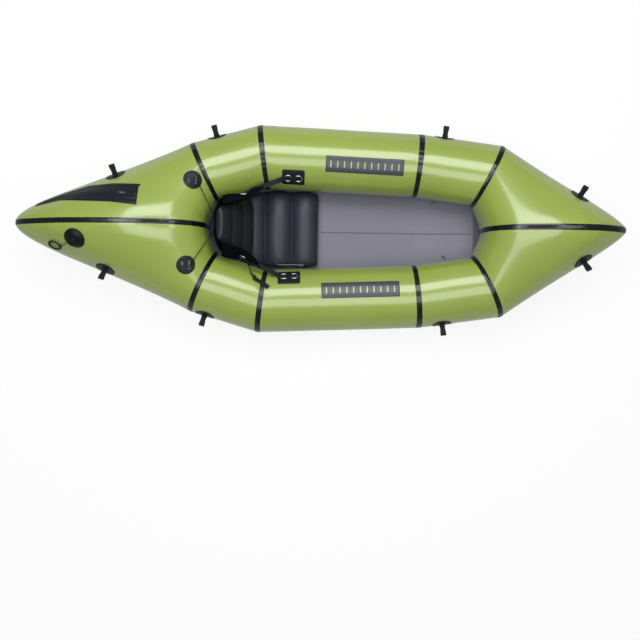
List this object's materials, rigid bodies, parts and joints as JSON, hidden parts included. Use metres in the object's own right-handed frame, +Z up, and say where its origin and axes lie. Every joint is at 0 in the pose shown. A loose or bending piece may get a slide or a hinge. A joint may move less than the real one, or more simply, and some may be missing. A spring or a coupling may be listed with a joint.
{
  "type": "packraft",
  "caption": "Inflatable one-person packraft with pointed raised ends, taped seams, an open cockpit, cushioned seat and folding backrest, lashing points and a cargo zipper.",
  "frame": {"origin": "on the ground under the middle of the raft", "axes": "+X to the bow, +Y to the raft's left side, +Z up"},
  "size_m": [2.6413, 0.9414, 0.441],
  "materials": {
    "hull": "satin coated fabric",
    "tape": "gloss coated tape",
    "floor": "satin coated fabric",
    "patch": "satin coated fabric",
    "webbing": "woven webbing",
    "strip": "satin coated fabric",
    "steel": "bright wire",
    "rubber": "moulded",
    "plastic": "moulded",
    "zipper": "coated coil zipper",
    "seat": "coated cushion fabric",
    "cord": "braided cord"
  },
  "bodies": {
    "hull": {"aft_ring_tape_left": "tape", "aft_ring_tape_right": "tape", "aft_shoulder_left": "hull", "aft_shoulder_right": "hull", "back_cord": "cord", "backrest_strap_left": "webbing", "backrest_strap_right": "webbing", "bow_centre_tape": "tape", "bow_cone_left": "hull", "bow_cone_right": "hull", "floor_sheet": "floor", "fore_ring_tape_left": "tape", "fore_ring_tape_right": "tape", "fore_shoulder_left": "hull", "fore_shoulder_right": "hull", "grab_patch_aft_left": "patch", "grab_patch_aft_right": "patch", "grab_patch_bow_left": "patch", "grab_patch_bow_right": "patch", "grab_patch_fore_left": "patch", "grab_patch_fore_right": "patch", "grab_patch_stern_left": "patch", "grab_patch_stern_right": "patch", "lash_strip_left": "strip", "lash_strip_right": "strip", "mid_aft_ring_tape_left": "tape", "mid_aft_ring_tape_right": "tape", "mid_fore_ring_tape_left": "tape", "mid_fore_ring_tape_right": "tape", "mid_tube_left": "hull", "mid_tube_right": "hull", "ring_patch_left": "patch", "ring_patch_right": "patch", "seat_base": "seat", "stern_centre_tape": "tape", "stern_cone_left": "hull", "stern_cone_right": "hull", "tie_patch_left": "patch", "tie_patch_right": "patch", "valve_body": "rubber", "zipper_panel": "zipper"},
    "backrest": {"backrest": "seat", "ladder_lock_left": "steel", "ladder_lock_right": "steel"},
    "grab_loop_aft_left": {"grab_loop_aft_left": "webbing"},
    "grab_loop_aft_right": {"grab_loop_aft_right": "webbing"},
    "grab_loop_bow_left": {"grab_loop_bow_left": "webbing"},
    "grab_loop_bow_right": {"grab_loop_bow_right": "webbing"},
    "grab_loop_fore_left": {"grab_loop_fore_left": "webbing"},
    "grab_loop_fore_right": {"grab_loop_fore_right": "webbing"},
    "grab_loop_stern_left": {"grab_loop_stern_left": "webbing"},
    "grab_loop_stern_right": {"grab_loop_stern_right": "webbing"},
    "d_ring_aft_left": {"d_ring_aft_left": "steel"},
    "d_ring_aft_right": {"d_ring_aft_right": "steel"},
    "d_ring_fore_left": {"d_ring_fore_left": "steel"},
    "d_ring_fore_right": {"d_ring_fore_right": "steel"},
    "valve_cap": {"valve_cap": "rubber"},
    "valve_plunger": {"valve_plunger": "plastic"},
    "tether_ring": {"tether_ring": "rubber"},
    "zipper_slider": {"zipper_slider": "zipper"}
  },
  "joints": [
    {"name": "backrest_fold", "type": "hinge", "parent": "hull", "child": "backrest", "pos_m": [-0.28, 0, 0.128], "axis": [0, 1, 0], "range_deg": [0, 95], "deforming": ["backrest_strap_left", "backrest_strap_right", "back_cord"]},
    {"name": "grab_loop_swing_aft_left", "type": "hinge", "parent": "hull", "child": "grab_loop_aft_left", "pos_m": [-0.46739, 0.40942, 0.20011], "axis": [0.9681, 0.2414, 0.067], "range_deg": [-60, 60]},
    {"name": "grab_loop_swing_aft_right", "type": "hinge", "parent": "hull", "child": "grab_loop_aft_right", "pos_m": [-0.51045, -0.39782, 0.19976], "axis": [0.9652, -0.2561, 0.0529], "range_deg": [-60, 60]},
    {"name": "grab_loop_swing_bow_left", "type": "hinge", "parent": "hull", "child": "grab_loop_bow_left", "pos_m": [1.12644, 0.1508, 0.31733], "axis": [0.898, -0.3907, -0.2023], "range_deg": [-60, 60]},
    {"name": "grab_loop_swing_bow_right", "type": "hinge", "parent": "hull", "child": "grab_loop_bow_right", "pos_m": [1.14544, -0.14031, 0.31733], "axis": [0.898, 0.3907, -0.2023], "range_deg": [-60, 60]},
    {"name": "grab_loop_swing_fore_left", "type": "hinge", "parent": "hull", "child": "grab_loop_fore_left", "pos_m": [0.55369, 0.42347, 0.17976], "axis": [0.9922, -0.1221, -0.0244], "range_deg": [-60, 60]},
    {"name": "grab_loop_swing_fore_right", "type": "hinge", "parent": "hull", "child": "grab_loop_fore_right", "pos_m": [0.55369, -0.42347, 0.17976], "axis": [0.9922, 0.1221, -0.0244], "range_deg": [-60, 60]},
    {"name": "grab_loop_swing_stern_left", "type": "hinge", "parent": "hull", "child": "grab_loop_stern_left", "pos_m": [-0.89861, 0.21796, 0.28094], "axis": [0.9569, 0.2551, 0.1388], "range_deg": [-60, 60]},
    {"name": "grab_loop_swing_stern_right", "type": "hinge", "parent": "hull", "child": "grab_loop_stern_right", "pos_m": [-0.93766, -0.20434, 0.28066], "axis": [0.9521, -0.2764, 0.131], "range_deg": [-60, 60]},
    {"name": "d_ring_aft_left_hinge", "type": "hinge", "parent": "hull", "child": "d_ring_aft_left", "pos_m": [-0.13333, 0.21547, 0.24379], "axis": [0.0296, 0.7065, 0.7071], "range_deg": [0, 90]},
    {"name": "d_ring_aft_right_hinge", "type": "hinge", "parent": "hull", "child": "d_ring_aft_right", "pos_m": [-0.14633, -0.21602, 0.24379], "axis": [-0.0296, 0.7065, -0.7071], "range_deg": [0, 90]},
    {"name": "d_ring_fore_left_hinge", "type": "hinge", "parent": "hull", "child": "d_ring_fore_left", "pos_m": [-0.10935, 0.21447, 0.24379], "axis": [-0.0296, -0.7065, -0.7071], "range_deg": [0, 90]},
    {"name": "d_ring_fore_right_hinge", "type": "hinge", "parent": "hull", "child": "d_ring_fore_right", "pos_m": [-0.12235, -0.21502, 0.24379], "axis": [0.0296, -0.7065, 0.7071], "range_deg": [0, 90]},
    {"name": "valve_cap_turn", "type": "hinge", "parent": "hull", "child": "valve_cap", "pos_m": [-1.043, -0.076, 0.39005], "axis": [-0.1943, -0.5896, 0.7839], "continuous": true},
    {"name": "valve_plunger_push", "type": "slide", "parent": "hull", "child": "valve_plunger", "axis": [0.1943, 0.5896, -0.7839], "range_m": [0, 0.006], "stiffness_N_per_m": 60, "springref_m": -0.003},
    {"name": "tether_ring_lift", "type": "hinge", "parent": "hull", "child": "tether_ring", "pos_m": [-1.06409, -0.08867, 0.38984], "axis": [-0.4613, 0.7602, 0.4574], "range_deg": [0, 60]},
    {"name": "zipper_slide", "type": "slide", "parent": "hull", "child": "zipper_slider", "axis": [-0.9833, 0.0736, -0.1663], "range_m": [0, 0.03]}
  ]
}
